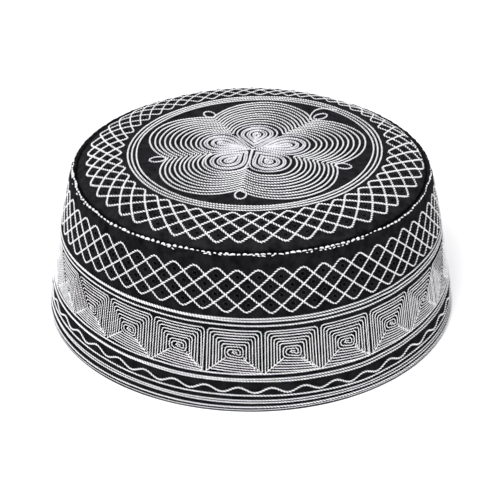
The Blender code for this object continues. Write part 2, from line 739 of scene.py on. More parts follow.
@dataclass
class ClothShell:
    """The cap's three cloth pieces: wall, top panel and the rolled edge between them."""

    form: CapForm
    foot_steps: int = 4
    outer_steps: int = 44
    inner_steps: int = 16
    roll_steps: int = 12
    welt_steps: int = 16
    shoulder_steps: int = 22
    flat_steps: int = 10
    band_segments: int = 472
    crown_segments: int = 388
    seam_pucker: float = 0.00030
    band_share: float = 0.6
    crown_share: float = 0.7
    pucker_reach: float = 0.0035
    sway: float = 0.00018
    sway_twist: float = 90.0
    inside_share: float = 0.3
    edge_push: float = 0.0005
    edge_push_right: float = 0.0004
    band_waves: tuple[tuple[float, float, float], ...] = ((1.0, 118, 0.0), (0.7, 67, 1.1), (0.6, 41, 2.3))
    crown_waves: tuple[tuple[float, float, float], ...] = ((1.0, 97, 0.0), (0.8, 53, 0.7), (0.6, 29, 1.9))
    folds: tuple[float, ...] = (-118, -71, -47, -30, -8, 12.5, 17, 39, 58, 96, 131, 164)
    fold_depth: float = 0.0005
    fold_mean: float = 0.55
    fold_spread: float = 0.45
    fold_phase: float = 2.4
    fold_width: float = math.radians(0.9)
    fold_height: float = 0.0610
    fold_reach: float = 0.0032

    def _band_outline(self) -> list[Pair]:
        """Closed outline of the wall, from its foot over the rolled top and down inside.

        Returns:
            Points (r, z).
        """
        f, foot = self.form, self.form.foot_round
        half = f.cloth / 2
        outer = [(f.wall_radius(z), z) for z in steps(foot, f.band_top, self.outer_steps)[1:-1]]
        inner = [(f.wall_radius(z) - f.cloth, z) for z in steps(f.band_top, foot, self.inner_steps)[1:-1]]
        return [*arc((f.rim_radius - foot, foot), foot, -90, 0, self.foot_steps), *outer,
                *arc((f.wall_radius(f.band_top) - half, f.band_top), half, 0, 180, self.roll_steps), *inner,
                *arc((f.rim_radius - f.cloth + foot, foot), foot, 180, 270, self.foot_steps)]

    def _crown_outline(self) -> list[Pair]:
        """Outline of the top panel from the axis, over its edge, and back underneath.

        Returns:
            Points (r, z).
        """
        f = self.form
        flat = steps(0.0, f.flat_radius, self.flat_steps)
        shoulder = steps(f.flat_radius, f.crown_edge, self.shoulder_steps)[1:]
        outer = [(r, f.crown_height(r)) for r in flat + shoulder]
        under = []
        for before, here in zip(outer[:-1], outer[1:]):
            along = Vector((here[0] - before[0], 0.0, here[1] - before[1])).normalized()
            under.append((here[0] + along.z * f.cloth, here[1] - along.x * f.cloth))
        return outer + under[::-1] + [(0.0, outer[0][1] - f.cloth)]

    def _band_pucker(self, angle: float, r: float, z: float) -> Vector:
        """How the topstitching gathers the wall's top edge, and slight hand-made unevenness below.

        Args:
            angle: angle from the front, in radians.
            r: distance from the axis.
            z: height.

        Returns:
            The move.
        """
        near_seam = math.exp(-(((z - self.form.band_top) / self.pucker_reach) ** 2))
        soft = ripple(((1.0, 5, 0.6), (0.8, 9, z * self.sway_twist)), angle)
        lift = math.sin(math.pi * min(z / self.form.band_top, 1.0))
        push = self.seam_pucker * near_seam * ripple(self.band_waves, angle) * self.band_share
        push += self.sway * lift * soft
        push -= self._fold(angle) * math.exp(-(((z - self.fold_height) / self.fold_reach) ** 2))
        if r < self.form.wall_radius(z) - self.form.cloth / 2:
            push *= self.inside_share
        return outwards(angle) * push

    def _fold(self, angle: float) -> float:
        """Depth of the short folds that the seam's tension makes, by angle from the front.

        Args:
            angle: angle from the front, in radians.

        Returns:
            The depth, in metres.
        """
        depth = 0.0
        for index, middle in enumerate(self.folds):
            off = (angle - math.radians(middle) + math.pi) % FULL_TURN - math.pi
            strength = self.fold_mean + self.fold_spread * math.cos(index * self.fold_phase)
            depth += strength * math.exp(-((off / self.fold_width) ** 2))
        return self.fold_depth * depth

    def _crown_pucker(self, angle: float, r: float, z: float) -> Vector:
        """How the top panel's edge is drawn in where it is sewn, and how it leans on the wall's edge.

        Args:
            angle: angle from the front, in radians.
            r: distance from the axis.
            z: height; not used.

        Returns:
            The move.
        """
        near_edge = math.exp(-(((r - self.form.crown_edge) / self.pucker_reach) ** 2))
        push = (self.edge_push + self.edge_push_right * max(math.sin(angle), 0.0)) * near_edge
        down = self.seam_pucker * self.crown_share * near_edge * ripple(self.crown_waves, angle)
        return outwards(angle) * push - UP * down

    def build(self, finishes: Finishes) -> list[tuple[bpy.types.Object, Slot]]:
        """Makes the three pieces, in place of their solids.

        Args:
            finishes: the cap's materials.

        Returns:
            Each piece with its slot.
        """
        f = self.form
        ring = arc((f.welt_radius, f.welt_height), f.welt_thick / 2, 0, 360, self.welt_steps)[:-1]
        band = TurnedCloth("wall_cloth", self._band_outline(), Turn.RING, f, self.band_segments,
                           pucker=self._band_pucker)
        crown = TurnedCloth("crown_cloth", self._crown_outline(), Turn.DISC, f, self.crown_segments,
                            pucker=self._crown_pucker)
        welt = TurnedCloth("welt_cloth", ring, Turn.RING, f)
        made = []
        for maker, material, node, slot in (
            (band, finishes.band, "side_band", Slot.BAND),
            (crown, finishes.crown, "crown_top", Slot.CROWN),
            (welt, finishes.welt, "seam_welt", Slot.WELT),
        ):
            piece = maker.build(material)
            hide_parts(node)
            made.append((piece, slot))
        return made


# Stitches


@dataclass
class Route:
    """A run of stitches: points on the cloth, the cloth's outward direction at each, and if it closes.

    A direction's length sets how wide the stitches are there, as a share of their full width.
    """

    points: list[Vector] = field(default_factory=list)
    ups: list[Vector] = field(default_factory=list)
    closed: bool = False

    def add(self, place: Place) -> None:
        """Adds a point with its direction."""
        self.points.append(place[0])
        self.ups.append(place[1])


def open_run(places: Iterable[Place]) -> Route:
    """A run of stitches through places, from the first to the last."""
    stops = list(places)
    return Route([point for point, _ in stops], [up for _, up in stops])


def stitch_shape(name: str, stations: Rings, sides: int) -> bpy.types.Object:
    """One closed stitch along X, of rings of points.

    Args:
        name: its name.
        stations: (x, y, z, radius, shade mark) of each ring, where the shade mark is 1 where the thread
            goes under; the thread's material paints shade there.
        sides: how many points each ring has.

    Returns:
        The stitch, with the shade marks as an attribute of its mesh.
    """
    work = bmesh.new()
    rings = []
    for x, y, z, radius, _ in stations:
        rings.append([work.verts.new((x, y + math.cos(turn) * radius, z + math.sin(turn) * radius))
                      for turn in turns(sides)])
    for low, high in zip(rings[:-1], rings[1:]):
        for k in range(sides):
            nxt = (k + 1) % sides
            work.faces.new((low[k], low[nxt], high[nxt], high[k]))
    work.faces.new(rings[0][::-1])
    work.faces.new(rings[-1])
    bmesh.ops.recalc_face_normals(work, faces=work.faces)
    mesh = bpy.data.meshes.new(name)
    work.to_mesh(mesh)
    work.free()
    mesh.shade_smooth()
    marks = mesh.attributes.new(END_NAME, "FLOAT", "POINT")
    marks.data.foreach_set("value", [station[-1] for station in stations for _ in range(sides)])
    return placed(name, mesh)


@dataclass
class StitchTree:
    """The node tree that lays one stitch after another along a route."""

    tree: bpy.types.NodeTree = field(init=False)
    inputs: dict[str, str] = field(init=False)

    def __post_init__(self) -> None:
        """Makes the tree with its inputs, and wires it."""
        self.tree = bpy.data.node_groups.new("stitches_along_route", "GeometryNodeTree")
        face = self.tree.interface
        kinds = {"Geometry": "Geometry", "Stitch": "Object", "Pitch": "Float", "Width": "Float",
                 "Unevenness": "Float", "Swing": "Float", "Skip": "Float", "Seed": "Int",
                 "Thread": "Material"}
        self.inputs = {
            name: face.new_socket(name, in_out="INPUT", socket_type="NodeSocket" + kind).identifier
            for name, kind in kinds.items()
        }
        face.new_socket("Geometry", in_out="OUTPUT", socket_type="NodeSocketGeometry")
        self._wire(NodeWriter(self.tree))

    def _wire(self, g: NodeWriter) -> None:
        """Joins the nodes: route to curve, points at the pitch, a stitch on each, made real.

        Args:
            g: writes the tree's nodes.
        """
        given = g.node("NodeGroupInput").outputs

        def draw(low: object, high: object, seed_step: int) -> Socket:
            """A random number for each stitch, kept apart from the other draws by its seed step.

            Args:
                low: the least value, a number or an output.
                high: the largest value.
                seed_step: a number that no other draw has.

            Returns:
                The number's output.
            """
            seed = g.math("ADD", given["Seed"], seed_step)
            feeds = {2: low, 3: high, "Seed": seed}
            return g.node("FunctionNodeRandomValue", feeds, data_type="FLOAT").outputs[1]

        curve = g.node("GeometryNodeMeshToCurve", {"Mesh": given["Geometry"]}).outputs[0]
        even = g.node("GeometryNodeResampleCurve", {"Curve": curve, "Length": given["Pitch"]},
                      mode="LENGTH").outputs[0]
        stitch = g.node("GeometryNodeObjectInfo", {"Object": given["Stitch"]}).outputs["Geometry"]
        tangent = g.node("GeometryNodeInputTangent").outputs[0]
        up = g.node("GeometryNodeInputNamedAttribute", {"Name": UP_NAME},
                    data_type="FLOAT_VECTOR").outputs[0]
        ahead = g.node("FunctionNodeAlignRotationToVector", {"Vector": tangent}, axis="X").outputs[0]
        upright = g.node("FunctionNodeAlignRotationToVector", {"Rotation": ahead, "Vector": up},
                         axis="Z", pivot_axis="X").outputs[0]
        swing = draw(g.math("MULTIPLY", given["Swing"], -1.0), given["Swing"], 3)
        turn = g.node("ShaderNodeCombineXYZ", {"Z": swing}).outputs[0]
        turned = g.node("FunctionNodeRotateRotation", {"Rotation": upright, "Rotate By": turn},
                        rotation_space="LOCAL").outputs[0]
        least = g.math("SUBTRACT", 1.0, given["Unevenness"])
        most = g.math("ADD", 1.0, given["Unevenness"])
        long = g.math("MULTIPLY", draw(least, most, 1), given["Pitch"])
        share = g.node("ShaderNodeVectorMath", {0: up}, operation="LENGTH").outputs["Value"]
        wide = g.math("MULTIPLY", g.math("MULTIPLY", draw(least, most, 2), given["Width"]), share)
        size = g.node("ShaderNodeCombineXYZ", {"X": long, "Y": wide, "Z": wide}).outputs[0]
        kept = g.node("FunctionNodeCompare", {"A": draw(0.0, 1.0, 4), "B": given["Skip"]},
                      data_type="FLOAT", operation="GREATER_THAN").outputs[0]
        feeds = {"Points": even, "Selection": kept, "Instance": stitch, "Rotation": turned, "Scale": size}
        laid = g.node("GeometryNodeInstanceOnPoints", feeds).outputs[0]
        real = g.node("GeometryNodeRealizeInstances", {0: laid}).outputs[0]
        dressed = g.node("GeometryNodeSetMaterial", {"Geometry": real, "Material": given["Thread"]})
        g.node("NodeGroupOutput", {0: dressed.outputs[0]})


@dataclass(frozen=True)
class StitchKind:
    """One sort of stitch: its shape, how long it is, how wide, and how uneven."""

    shape: bpy.types.Object
    pitch: float
    width: float
    unevenness: float = 0.06
    swing: float = 0.05
    skip: float = -1.0


@dataclass
class Needle:
    """Sews routes: turns them into one mesh of real stitches.

    The rings give two stitches for a unit of length along X and of width: one turn of a twisted cord,
    whose slanted bead overlaps its neighbours, and a lock stitch, a bow that dips in at both ends.
    """

    # The last number of each ring marks where the thread's material paints shade: the bead's ends, where
    # the cord dives under its neighbour, and the bow's ends, where it goes into the cloth.
    bead_rings: Rings = (
        (-0.68, 0.29, 0.08, 0.0744, 1.0), (-0.25, 0.145, 0.40, 0.31, 0.0),
        (0.25, -0.145, 0.40, 0.31, 0.0), (0.68, -0.29, 0.08, 0.0744, 1.0),
    )
    bead_sides: int = 4
    bow_rings: Rings = (
        (-0.37, 0.0, -0.45, 0.20, 0.9), (-0.27, 0.0, 0.05, 0.45, 0.1), (0.0, 0.0, 0.275, 0.50, 0.0),
        (0.27, 0.0, 0.05, 0.45, 0.1), (0.37, 0.0, -0.45, 0.20, 0.9),
    )
    bow_sides: int = 6
    tree: StitchTree = field(default_factory=StitchTree)
    bead: bpy.types.Object = field(init=False)
    bow: bpy.types.Object = field(init=False)

    def __post_init__(self) -> None:
        """Makes the two stitch shapes."""
        self.bead = stitch_shape("cord_bead", self.bead_rings, self.bead_sides)
        self.bow = stitch_shape("lock_stitch", self.bow_rings, self.bow_sides)

    def cord(self, pitch: float, width: float, **values: float) -> StitchKind:
        """Couched cord whose turns have that pitch, and that width."""
        return StitchKind(self.bead, pitch, width, **values)

    def lock(self, pitch: float, width: float, **values: float) -> StitchKind:
        """A lock stitch of that pitch and width."""
        return StitchKind(self.bow, pitch, width, **values)

    def sew(self, name: str, routes: Sequence[Route], kind: StitchKind, thread: bpy.types.Material,
            seed: int) -> bpy.types.Object:
        """Sews routes as one piece.

        Args:
            name: the piece's name.
            routes: where the stitches run.
            kind: the stitch.
            thread: its material.
            seed: for its unevenness.

        Returns:
            The piece, a plain mesh.
        """
        guide = self._guide(name + "_guide", routes)
        modifier = guide.modifiers.new("stitches", "NODES")
        modifier.node_group = self.tree.tree
        values = {"Stitch": kind.shape, "Pitch": kind.pitch, "Width": kind.width,
                  "Unevenness": kind.unevenness, "Swing": kind.swing, "Skip": kind.skip,
                  "Seed": seed, "Thread": thread}
        for key, value in values.items():
            modifier[self.tree.inputs[key]] = value
        graph = bpy.context.evaluated_depsgraph_get()
        mesh = bpy.data.meshes.new_from_object(guide.evaluated_get(graph))
        bpy.data.objects.remove(guide, do_unlink=True)
        mesh.name = name
        mesh.shade_smooth()
        return placed(name, mesh)

    def _guide(self, name: str, routes: Sequence[Route]) -> bpy.types.Object:
        """A mesh of edges along the routes, with the cloth's direction on each point.

        Args:
            name: its name.
            routes: where the stitches run.

        Returns:
            The mesh's object.
        """
        points: list[Vector] = []
        edges: list[tuple[int, int]] = []
        for route in routes:
            first = len(points)
            points += route.points
            last = len(points) - 1
            edges += [(i, i + 1) for i in range(first, last)]
            if route.closed:
                edges.append((last, first))
        mesh = bpy.data.meshes.new(name)
        mesh.from_pydata(points, edges, [])
        up = mesh.attributes.new(UP_NAME, "FLOAT_VECTOR", "POINT")
        up.data.foreach_set("vector", [length for route in routes for way in route.ups for length in way])
        return placed(name, mesh)

    def put_away(self) -> None:
        """Removes the stitch shapes once everything is sewn."""
        for shape in (self.bead, self.bow):
            bpy.data.objects.remove(shape, do_unlink=True)


# Embroidery on the top


@dataclass(frozen=True)
class TopSkew:
    """How the top's pattern sits off its true place, as cloth that was stretched in a hoop does.

    The fields besides reach and bow are moves in metres. Those that grow are given at reach from the
    axis, and bow is the share of the bend that applies there.
    """

    reach: float = 0.060
    right: float = -0.0002
    back: float = -0.0016
    right_by_right: float = 0.0006
    right_by_back: float = 0.0020
    back_by_right: float = 0.0013
    back_by_back: float = -0.0006
    bend_right: float = 0.0012
    bend_back: float = 0.0005
    back_squash: float = 0.0010
    bow: float = 0.9

    def moved(self, x: float, y: float) -> Pair:
        """Where a true place of the pattern ends up.

        Args:
            x: how far right of the axis.
            y: how far behind the axis.

        Returns:
            The place on the cap, x and y.
        """
        across, behind = x / self.reach, y / self.reach
        bow = (across * across + across * behind + behind * behind) * self.bow
        right = self.right + self.right_by_right * across + self.right_by_back * behind
        back = self.back + self.back_by_right * across + self.back_by_back * behind
        squash = self.back_squash * max(behind, 0.0) ** 2
        return x + right + self.bend_right * bow, y + back + self.bend_back * bow - squash


@dataclass
class CrownEmbroidery:
    """The rosette, the three rings round it and the lattice on the shoulder."""

    form: CapForm
    skew: TopSkew = TopSkew()
    furthest: float = 0.0768
    rosette_centre: Pair = (0.0009, -0.0003)
    petals: int = 5
    first_notch: float = math.radians(-5.6)
    heart_eyes: tuple[float, ...] = (0.0146, 0.0157, 0.0146, 0.0154, 0.0151)
    heart_sizes: tuple[float, ...] = (1.03, 1.04, 1.0, 1.0, 1.10)
    heart_loops: tuple[tuple[float, float, float], ...] = (
        (0.0008, 0.0007, 0.0009), (0.0018, 0.0016, 0.0021), (0.0036, 0.0033, 0.0044),
        (0.0046, 0.0043, 0.0059), (0.0065, 0.0061, 0.0087), (0.0075, 0.0071, 0.0104),
        (0.0095, 0.0093, 0.0136),
    )
    heart_tails: tuple[float, ...] = (0.08, 0.50, 0.26, 0.50, 0.26)
    heart_points: int = 72
    heart_waver_step: float = 900.0
    shortest_tail: float = 0.0012
    tail_point: float = 2.5
    widest_side: float = math.radians(37)
    side_power: int = 8
    lobe_lines: int = 10
    lobe_points: int = 300
    lobe_waver_step: float = 1.7
    lobe_centre: Pair = (0.0150, 0.0259)
    lobe_radius: Pair = (0.0105, 0.0241)
    lobe_swell: tuple[float, ...] = (0.0003, 0.0012, 0.0, 0.0008, 0.0018)
    lobe_reach: tuple[float, ...] = (0.0001, 0.0008, 0.0012, 0.0014, 0.0004)
    eyelet_reach: tuple[float, ...] = (0.0427, 0.0428, 0.0446, 0.0426, 0.0427)
    eyelet_half: Pair = (0.0036, 0.0024)
    eyelet_points: int = 28
    stray_arch: Table = (
        (0.0395, 2.5), (0.0415, 4.6), (0.0435, 6.0), (0.0458, 7.1), (0.0482, 7.6), (0.0502, 7.3),
        (0.0518, 6.2), (0.0529, 4.6), (0.0536, 2.6), (0.0546, -1.0),
    )
    stray_notch: int = 2
    stray_steps: int = 6
    ring_centre: Pair = (0.0013, 0.0000)
    ring_radii: tuple[float, ...] = (0.0526, 0.0544, 0.0562)
    ring_points: int = 360
    lattice_centre: Pair = (0.0012, 0.0005)
    lattice_inner: float = 0.0583
    lattice_outer: float = 0.0754
    inner_flare: Table = ((108, 0.0), (128, 0.0012), (144, 0.0014), (162, 0.0))
    outer_flare: Table = (
        (-180, 0.0010), (-140, 0.0020), (-112, 0.0026), (-97, 0.0016), (-84, 0.0), (50, 0.0), (64, -0.0007),
        (74, -0.0007), (84, 0.0002), (93, 0.0016), (102, 0.0026), (145, 0.0022), (180, 0.0010),
    )
    inner_slip: Table = (
        (18, 0.0), (30, -1.1), (64, -1.3), (76, -0.4), (84, 0.0), (95, 1.5), (110, 3.3), (122, 4.1),
        (134, 4.1), (150, 3.0), (176, 0.0),
    )
    outer_slip: Table = (
        (-180, 0.0), (-150, -3.0), (-125, -5.0), (-104, -5.3), (-94, -4.2), (-84, -3.0), (-74, -2.3),
        (-62, -1.5), (-50, -0.8), (-38, 0.0), (60, 0.0), (71, 0.6), (79, 1.5), (87, 3.2), (97, 5.0),
        (110, 5.6), (122, 5.2), (134, 4.5), (150, 3.0), (176, 0.0),
    )
    back_slim: float = 0.30
    tip_softness: Pair = (0.07, 0.06)
    curl_size: float = 0.0013
    lattice_points: int = 50
    windings: int = 5

    @property
    def petal(self) -> float:
        """The angle that one petal takes."""
        return FULL_TURN / self.petals

    def _place(self, centre: Pair, radius: float, angle: float) -> Place:
        """A place on the top, by radius and angle from the front about a centre.

        Args:
            centre: (x, y) of the pattern's centre.
            radius: distance from it.
            angle: angle from the front about it, in radians.

        Returns:
            The point, and the cloth's direction there.
        """
        x, y = self.skew.moved(centre[0] + radius * math.sin(angle), centre[1] - radius * math.cos(angle))
        inside = self.furthest / max(math.hypot(x, y), self.furthest)
        return self.form.on_crown(x * inside, y * inside)

    def _lobe_radius(self, share: float, off_axis: float) -> float:
        """Radius of a five-lobed line.

        Args:
            share: 0 for the innermost line and 1 for the outermost.
            off_axis: angle from the petal's middle, in radians.

        Returns:
            The distance from the rosette's centre.
        """
        centre, radius = mix(*self.lobe_centre, share), mix(*self.lobe_radius, share)
        sideways = centre * math.sin(off_axis)
        return centre * math.cos(off_axis) + math.sqrt(radius * radius - sideways * sideways)

    def lobes(self) -> list[Route]:
        """The lobed lines: one spiral that runs round the five petals and grows outwards.

        Returns:
            One open run.
        """
        run = Route()
        waver = Wander(seed=21, size=0.00022, waves=(3, 7, 11, 17))
        for i in range(self.lobe_lines * self.lobe_points + 1):
            turn = i / self.lobe_points
            angle, share = self.first_notch - FULL_TURN * turn, turn / self.lobe_lines
            off_axis = (angle - self.first_notch) % self.petal - self.petal / 2
            index = int((angle - self.first_notch) % FULL_TURN / self.petal) % self.petals
            swell = self.lobe_swell[index] * (1 - share) ** 2 + self.lobe_reach[index] * share
            radius = self._lobe_radius(share, off_axis)
            radius += waver.at(angle + self.lobe_waver_step * int(turn))
            radius += swell * math.cos(math.pi * off_axis / self.petal) ** 2
            run.add(self._place(self.rosette_centre, radius, angle))
        return [run]

    def _heart_line(self, petal: int, loop: tuple[float, float, float], waver: Wander) -> Route:
        """One nested drop.

        Args:
            petal: which petal it is in.
            loop: (reach, half width, tail) of an even heart.
            waver: its unevenness, which the petal's drops share.

        Returns:
            The closed run.
        """
        axis, eye = self.first_notch + self.petal * (petal + 0.5), self.heart_eyes[petal]
        reach, half_width, tail = (size * self.heart_sizes[petal] for size in loop)
        tail += max(eye - self.shortest_tail - tail, 0.0) * self.heart_tails[petal]
        pointed = min(max((tail / reach - 1.0) * self.tail_point, 0.0), 1.0)
        run = Route(closed=True)
        for turn in turns(self.heart_points):
            out = math.cos(turn)
            along, narrow = reach * out, abs(math.sin(turn))
            if out < 0:
                along, narrow = tail * out, mix(narrow, (1 + out) * (1 - out * (1 + out)), pointed)
            across = math.copysign(half_width * narrow, math.sin(turn))
            along += eye
            side = math.atan2(across, along)
            side /= (1 + (side / self.widest_side) ** self.side_power) ** (1 / self.side_power)
            radius = math.hypot(along, across) + waver.at(turn + reach * self.heart_waver_step)
            run.add(self._place(self.rosette_centre, radius, axis + side))
        return run

    def hearts(self) -> list[Route]:
        """The nested drops in the heart of each petal, whose tails run to the rosette's centre.

        Returns:
            The closed runs, from each heart's middle outwards.
        """
        wavers = [Wander(seed=40 + p, size=0.00018, waves=(1, 2, 3, 5)) for p in range(self.petals)]
        return [self._heart_line(petal, loop, waver) for petal, waver in enumerate(wavers)
                for loop in self.heart_loops]

    def eyelets(self) -> list[Route]:
        """The small loops outside the notches.

        Returns:
            The closed runs.
        """
        runs = []
        for index, reach in enumerate(self.eyelet_reach):
            axis, run = self.first_notch + self.petal * index, Route(closed=True)
            for turn in turns(self.eyelet_points):
                along = reach + self.eyelet_half[0] * math.cos(turn)
                across = self.eyelet_half[1] * math.sin(turn)
                side = math.atan2(across, along)
                run.add(self._place(self.rosette_centre, math.hypot(along, across), axis + side))
            runs.append(run)
        return runs

    def stray_thread(self) -> Route:
        """The thread that arches over one eyelet, from a petal's edge to the rings.

        Returns:
            The open run.
        """
        notch = self.first_notch + self.petal * self.stray_notch
        return open_run(
            self._place(self.rosette_centre, mix(here[0], after[0], share),
                        notch + math.radians(mix(here[1], after[1], share)))
            for here, after in zip(self.stray_arch[:-1], self.stray_arch[1:])
            for share in steps(0.0, 1.0, self.stray_steps)[:-1]
        )

    def rings(self) -> list[Route]:
        """The three rings round the rosette.

        Returns:
            The closed runs, from the inside out.
        """
        shared = Wander(seed=59, size=0.00035, waves=(2, 3, 5))
        runs = []
        for index, radius in enumerate(self.ring_radii):
            own, run = Wander(seed=60 + index, size=0.00022, waves=(2, 3, 5, 9)), Route(closed=True)
            for angle in turns(self.ring_points):
                wavered = radius + own.at(angle) + shared.at(angle)
                run.add(self._place(self.ring_centre, wavered, angle))
            runs.append(run)
        return runs

    def _lattice_place(self, angle: float, share: float, along: float = 0.0,
                       across: float = 0.0) -> Place:
        """A place in the lattice, which is shifted and flared at the sides and the back.

        Args:
            angle: angle from the front about the lattice's centre, in radians.
            share: 0 at its inner edge and 1 at its outer edge.
            along: metres further outwards.
            across: metres further round.

        Returns:
            The point, and the cloth's direction there.
        """
        degrees = from_front(angle)
        inner = self.lattice_inner + between(self.inner_flare, degrees)
        outer = self.lattice_outer + between(self.outer_flare, degrees)
        slip = mix(between(self.inner_slip, degrees), between(self.outer_slip, degrees), share)
        radius = mix(inner, outer, share)
        round_to = angle + math.radians(slip) + across / radius
        return self._place(self.lattice_centre, radius + along, round_to)

    def lattice(self) -> list[Route]:
        """The threads that zigzag round the shoulder and cross, so that they make four rows of cells.

        Returns:
            The closed runs.
        """
        def place(angle: float, share: float) -> Place:
            """The place for an angle and a share of the way outwards, slimmer at the back."""
            point, up = self._lattice_place(angle, share)
            return point, up * (1.0 - self.back_slim * min(max(-2 * math.cos(angle), 0.0), 1.0))

        return zigzags(self.windings, self.lattice_points, self.tip_softness, seed=71, place=place)

    def curls(self) -> list[Route]:
        """The dark curl in each cell."""
        return curls_in(cell_places(self.lattice_points, self.windings), self.curl_size,
                        self._lattice_place)


def hole_shade_dots(curls: list[Route]) -> list[Route]:
    """The dark spot inside each curl: painted shade of the hole where the needle went in."""
    return [open_run((point - up * DOT_SINK, up) for point, up in
                     zip(curl.points[:DOT_POINTS], curl.ups)) for curl in curls]


def rounded_ramp(share: float, soft: Pair) -> float:
    """Rounds a zigzag's tips off.

    Args:
        share: 0 to 1 across the zigzag.
        soft: how much of the way is rounded at 0, and at 1.

    Returns:
        The share, a little less far out near both tips.
    """
    low, high = soft
    if share < low:
        return low / 2 + share * share / (2 * low)
    if share > 1 - high:
        return 1 - high / 2 - (1 - share) ** 2 / (2 * high)
    return share


def zigzags(windings: int, points: int, soft: Pair, seed: int, place: Callable[[float, float], Place],
            start: float = 0.0) -> list[Route]:
    """Threads that zigzag round a ring and cross each other.

    Args:
        windings: how many threads there are. From edge to edge a thread passes half as many tips.
        points: how many tips they have together on each edge.
        soft: how much of the way across is rounded off at the inner and the outer tips.
        seed: for the tips' unevenness.
        place: gives the place on the cloth for an angle and a share, 0 to 1, of the way across.
        start: angle of the first inner tip, in radians.

    Returns:
        The closed runs.
    """
    routes = []
    draw = random.Random(seed)
    fine, most_slip, most_reach = 16, 0.07, 0.02
    tips = 2 * points // windings
    for thread in range(windings):
        uneven = [(draw.uniform(-most_slip, most_slip), draw.uniform(-most_reach, most_reach))
                  for _ in range(tips)]
        route = Route(closed=True)
        for i in range(tips * fine):
            tip, part = divmod(i, fine)
            blend = part / fine
            slip, reach = (mix(a, b, blend) for a, b in zip(uneven[tip], uneven[(tip + 1) % tips]))
            share = rounded_ramp(blend if tip % 2 == 0 else 1 - blend, soft) + reach
            route.add(place(start + FULL_TURN * ((thread + slip) / points + i / (tips * fine)), share))
        routes.append(route)
    return routes


def cell_places(points: int, windings: int, start: float = 0.0) -> list[Pair]:
    """The middles of the cells that crossing zigzags leave.

    Args:
        points: how many tips the zigzags have together on each edge.
        windings: how many threads there are.
        start: angle of the first inner tip, in radians.

    Returns:
        (angle, share of the way across) of each cell.
    """
    return [(start + FULL_TURN * (i + (0.0 if row % 2 else 0.5)) / points, row / windings)
            for row in range(1, windings) for i in range(points)]


def rounded_run(corners: list[tuple[float, float, float]], step: float) -> list[Pair]:
    """Straight runs between corners that are rounded off.

    Args:
        corners: (x, y, length that the rounding takes from each side).
        step: the distance between points on the straight runs.

    Returns:
        Points (x, y), from the first corner to the last.
    """
    points = [corners[0][:2]]
    for before, here, after in zip(corners[:-2], corners[1:-1], corners[2:]):
        corner = Vector(here[:2])
        into, out = Vector(before[:2]) - corner, Vector(after[:2]) - corner
        cut = min(here[2], into.length * 0.5, out.length * 0.5)
        enter, leave = corner + into.normalized() * cut, corner + out.normalized() * cut
        add_straight(points, enter, step)
        for t in steps(0.0, 1.0, BEND_STEPS)[1:]:
            bend = enter * (1 - t) ** 2 + corner * 2 * t * (1 - t) + leave * t * t
            points.append((bend.x, bend.y))
    add_straight(points, Vector(corners[-1][:2]), step)
    return points


def add_straight(points: list[Pair], end: Vector, step: float) -> None:
    """Adds points on the straight run from the last point to an end.

    Args:
        points: the points so far.
        end: where the run ends.
        step: the distance between points.
    """
    start = Vector(points[-1])
    count = max(1, int((end - start).length / step))
    for share in steps(0.0, 1.0, count)[1:]:
        place = start + (end - start) * share
        points.append((place.x, place.y))


def curls_in(cells: Sequence[Pair], size: float,
             place: Callable[[float, float, float, float], Place]) -> list[Route]:
    """A small open curl of a turn and a half in each cell.

    Args:
        cells: (angle, share) of each cell's middle.
        size: a curl's outer radius.
        place: gives the place on the cloth for a cell's middle and the metres along and across from it.

    Returns:
        The open runs.
    """
    count, turns, first_share = 18, 1.5, 0.25
    points = []
    for i in range(count + 1):
        turn = FULL_TURN * turns * i / count
        radius = size * (first_share + (1 - first_share) * i / count)
        points.append((radius * math.cos(turn), radius * math.sin(turn)))
    return [open_run(place(*cell, *point) for point in points) for cell in cells]


# Embroidery on the wall


@dataclass(frozen=True)
class WallRing:
    """One line round the wall: its height, how far it drops towards +X, and its waver's seed."""

    height: float
    drop: float
    seed: int


